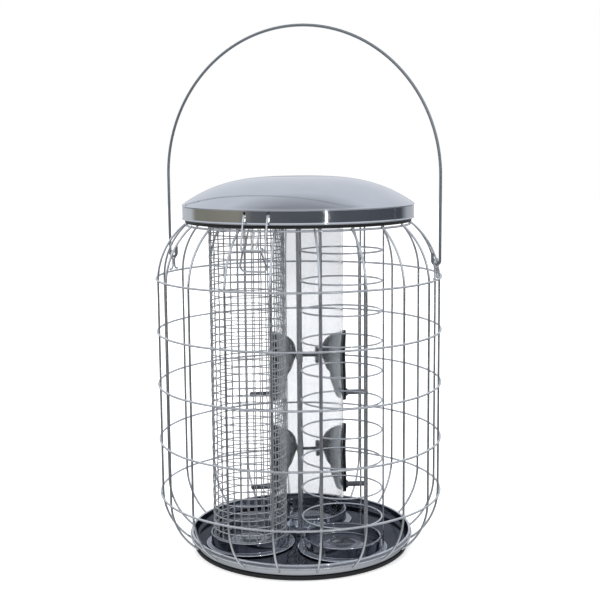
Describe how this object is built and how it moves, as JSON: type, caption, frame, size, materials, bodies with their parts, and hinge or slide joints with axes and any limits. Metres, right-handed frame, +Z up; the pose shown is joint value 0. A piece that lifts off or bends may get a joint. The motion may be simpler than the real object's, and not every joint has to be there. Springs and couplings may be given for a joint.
{
  "type": "bird feeder",
  "caption": "Hanging bird feeder: a round wire guard cage around a mesh tube, a wire fat-ball holder and a clear seed tube, with a tray, a hinged domed lid and a wire bail.",
  "frame": {"origin": "centre of the flat underside of the base", "axes": "+Z up, -Y towards the lid's latch, +X to the right seen from the latch"},
  "size_m": [0.2524, 0.2458, 0.4498],
  "materials": {
    "zinc_plated_wire": "bright zinc plate",
    "dark_wire": "dark bright wire",
    "polished_steel": "polished",
    "black_plastic": "matte",
    "clear_acrylic": "clear",
    "grey_cast_metal": "dark grey satin"
  },
  "bodies": {
    "feeder": {"bail_eye_left": "zinc_plated_wire", "bail_eye_right": "zinc_plated_wire", "base_plate": "black_plastic", "base_tray": "polished_steel", "bottom_ring": "zinc_plated_wire", "centre_rod": "zinc_plated_wire", "cup_fat_ball": "polished_steel", "cup_mesh": "polished_steel", "cup_seed": "polished_steel", "fat_ball_holder": "zinc_plated_wire", "hoop_1": "zinc_plated_wire", "hoop_2": "zinc_plated_wire", "hoop_3": "zinc_plated_wire", "hoop_4": "zinc_plated_wire", "hoop_5": "zinc_plated_wire", "latch_keeper": "zinc_plated_wire", "lid_hinge_loop": "zinc_plated_wire", "mesh_tube": "zinc_plated_wire", "perch_lower_left": "grey_cast_metal", "perch_lower_right": "grey_cast_metal", "perch_upper_left": "grey_cast_metal", "perch_upper_right": "grey_cast_metal", "port_lower_left": "grey_cast_metal", "port_lower_right": "grey_cast_metal", "port_upper_left": "grey_cast_metal", "port_upper_right": "grey_cast_metal", "rod_cap_nut": "zinc_plated_wire", "rod_lock_nut": "zinc_plated_wire", "rod_nut": "zinc_plated_wire", "seed_tube": "clear_acrylic", "tie_screw_lower": "grey_cast_metal", "tie_screw_upper": "grey_cast_metal", "top_ring": "zinc_plated_wire", "upright_01": "zinc_plated_wire", "upright_02": "zinc_plated_wire", "upright_03": "zinc_plated_wire", "upright_04": "zinc_plated_wire", "upright_05": "zinc_plated_wire", "upright_06": "zinc_plated_wire", "upright_07": "zinc_plated_wire", "upright_08": "zinc_plated_wire", "upright_09": "zinc_plated_wire", "upright_10": "zinc_plated_wire", "upright_11": "zinc_plated_wire", "upright_12": "zinc_plated_wire", "upright_13": "zinc_plated_wire", "upright_14": "zinc_plated_wire", "upright_15": "zinc_plated_wire", "upright_16": "zinc_plated_wire", "upright_17": "zinc_plated_wire", "upright_18": "zinc_plated_wire", "upright_19": "zinc_plated_wire", "upright_20": "zinc_plated_wire"},
    "bail": {"bail": "dark_wire"},
    "lid": {"lid": "polished_steel", "lid_hinge_strap": "polished_steel"},
    "latch_link": {"latch_link": "zinc_plated_wire"},
    "latch_lever": {"latch_lever": "zinc_plated_wire"}
  },
  "joints": [
    {"name": "bail_swing", "type": "hinge", "parent": "feeder", "child": "bail", "pos_m": [0, 0, 0.251], "axis": [0.9986, -0.0523, 0], "range_deg": [-138, 138]},
    {"name": "lid_hinge", "type": "hinge", "parent": "feeder", "child": "lid", "pos_m": [0, 0.1015, 0.288], "axis": [-1, 0, 0], "range_deg": [0, 48]},
    {"name": "latch_link_hinge", "type": "hinge", "parent": "lid", "child": "latch_link", "pos_m": [0, -0.098, 0.2955], "axis": [-1, 0, 0], "range_deg": [0, 56]},
    {"name": "latch_lever_hinge", "type": "hinge", "parent": "latch_link", "child": "latch_lever", "pos_m": [0, -0.106, 0.2686], "axis": [-1, 0, 0], "range_deg": [-45, 100]}
  ]
}
